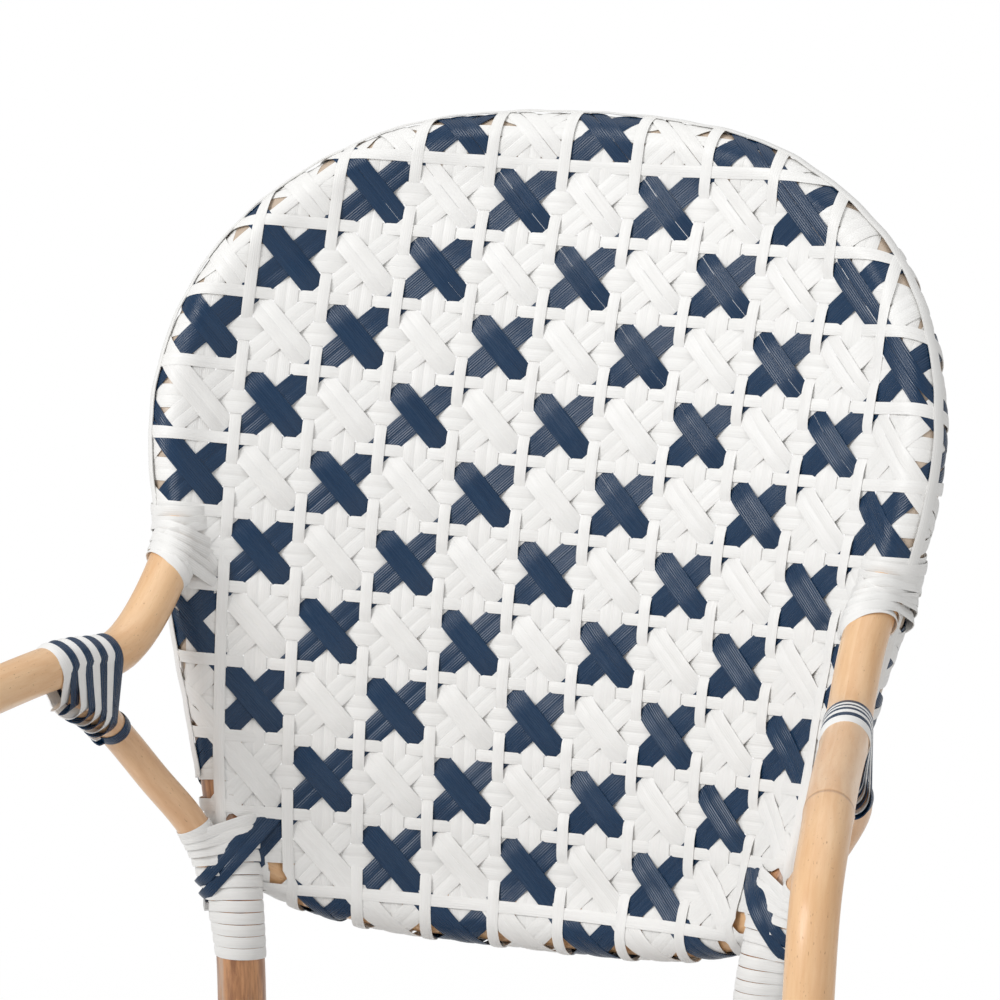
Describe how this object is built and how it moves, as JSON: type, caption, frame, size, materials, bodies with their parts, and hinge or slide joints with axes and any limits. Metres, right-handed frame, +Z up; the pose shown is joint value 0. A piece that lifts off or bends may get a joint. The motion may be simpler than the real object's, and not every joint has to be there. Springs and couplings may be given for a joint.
{
  "type": "rattan bistro armchair",
  "caption": "Cafe armchair of bent rattan poles with a woven plastic strip back and seat, arched underframe and bound joints.",
  "frame": {"origin": "on the floor, under the middle of the chair's plan box", "axes": "+Z up, -Y the way the sitter faces, +X to the sitter's left"},
  "size_m": [0.4706, 0.5892, 0.9157],
  "materials": {
    "bark_rattan": "dark brown rattan with its bark on, satin",
    "peeled_rattan": "honey peeled rattan, satin lacquer",
    "pale_rattan": "pale peeled rattan, satin lacquer",
    "woven_strip": "ribbed flat plastic strip, white with navy diagonals, low sheen",
    "white_strip": "ribbed flat plastic strip, off-white, low sheen",
    "navy_strip": "ribbed flat plastic strip, navy, low sheen",
    "screw_steel": "zinc plated",
    "foot_glide": "moulded nylon, matte"
  },
  "bodies": {
    "root": {"back_hoop_and_rear_legs": "bark_rattan", "arm_and_front_leg_left": "peeled_rattan", "arm_and_front_leg_right": "peeled_rattan", "back_bottom_rail": "peeled_rattan", "seat_ring": "peeled_rattan", "seat_cross_bar_front": "peeled_rattan", "seat_cross_bar_rear": "peeled_rattan", "arm_brace_left": "pale_rattan", "arm_brace_right": "pale_rattan", "front_arch": "pale_rattan", "rear_arch": "pale_rattan", "left_arch": "pale_rattan", "right_arch": "pale_rattan", "seat_weave": "woven_strip", "back_weave": "woven_strip", "back_edge_strip": "white_strip", "arm_binding_left": "white_strip", "brace_binding_white_left": "white_strip", "brace_binding_navy_left": "navy_strip", "rear_post_binding_left": "white_strip", "front_leg_binding_left": "white_strip", "rear_leg_binding_left": "white_strip", "arm_binding_right": "white_strip", "brace_binding_white_right": "white_strip", "brace_binding_navy_right": "navy_strip", "rear_post_binding_right": "white_strip", "front_leg_binding_right": "white_strip", "rear_leg_binding_right": "white_strip", "front_arch_binding": "white_strip", "rear_arch_binding": "white_strip", "left_arch_binding": "white_strip", "right_arch_binding": "white_strip", "arm_screw_left": "screw_steel", "brace_upper_screw_left": "screw_steel", "brace_lower_screw_left": "screw_steel", "rail_screw_left": "screw_steel", "seat_screw_rear_left": "screw_steel", "seat_screw_front_left": "screw_steel", "front_bar_nail_left": "screw_steel", "rear_bar_nail_left": "screw_steel", "arm_screw_right": "screw_steel", "brace_upper_screw_right": "screw_steel", "brace_lower_screw_right": "screw_steel", "rail_screw_right": "screw_steel", "seat_screw_rear_right": "screw_steel", "seat_screw_front_right": "screw_steel", "front_bar_nail_right": "screw_steel", "rear_bar_nail_right": "screw_steel", "arch_screw_front": "screw_steel", "arch_screw_rear": "screw_steel", "arch_screw_left": "screw_steel", "arch_screw_right": "screw_steel", "foot_glide_front_left": "foot_glide", "foot_glide_front_right": "foot_glide", "foot_glide_rear_left": "foot_glide", "foot_glide_rear_right": "foot_glide"}
  },
  "joints": []
}
